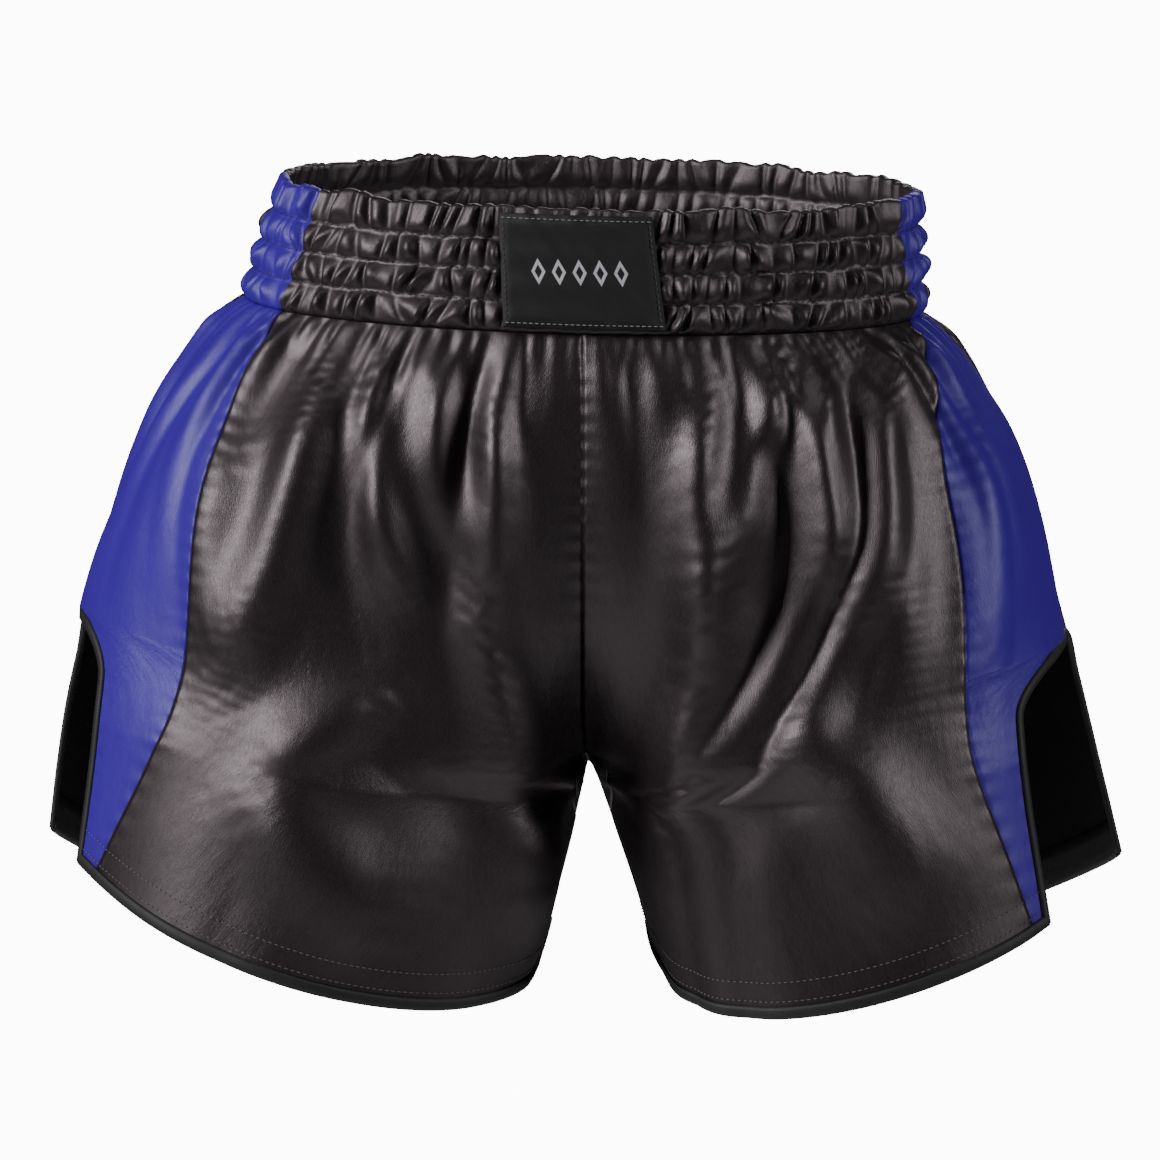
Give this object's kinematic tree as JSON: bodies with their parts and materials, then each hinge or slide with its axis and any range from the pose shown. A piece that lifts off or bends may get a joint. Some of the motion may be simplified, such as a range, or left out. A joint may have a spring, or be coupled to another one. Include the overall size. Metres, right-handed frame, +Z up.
{
  "type": "boxing shorts",
  "caption": "Loose satin shorts for boxing and kickboxing, with a gathered elastic waistband, contrast side panels, arched side vents and curved hems.",
  "frame": {"origin": "centre of the waist opening, halfway up the waistband", "axes": "+X to the wearer's left, -Y to the front, +Z up"},
  "size_m": [0.4819, 0.2248, 0.3744],
  "materials": {
    "black_satin": "heavy polyester satin, black, glossy on the face and matt on the reverse",
    "blue_satin": "heavy polyester satin, royal blue, glossy face",
    "elastic": "knitted elastic, off-white, hidden in its channel",
    "woven_label": "damask woven label, black, matt",
    "trim": "black tape and facing, low sheen"
  },
  "bodies": {
    "root": {"front_panel_right": "black_satin", "front_panel_left": "black_satin", "side_panel_right": "blue_satin", "side_panel_left": "blue_satin", "back_panel_right": "black_satin", "back_panel_left": "black_satin", "crotch_gusset": "black_satin", "elastic_row_1": "elastic", "elastic_row_2": "elastic", "elastic_row_3": "elastic", "elastic_row_4": "elastic", "front_label": "woven_label", "vent_binding_right": "trim", "vent_binding_left": "trim", "hem_band_front_right": "trim", "hem_band_front_left": "trim", "hem_band_back_right": "trim", "hem_band_back_left": "trim"}
  },
  "joints": []
}
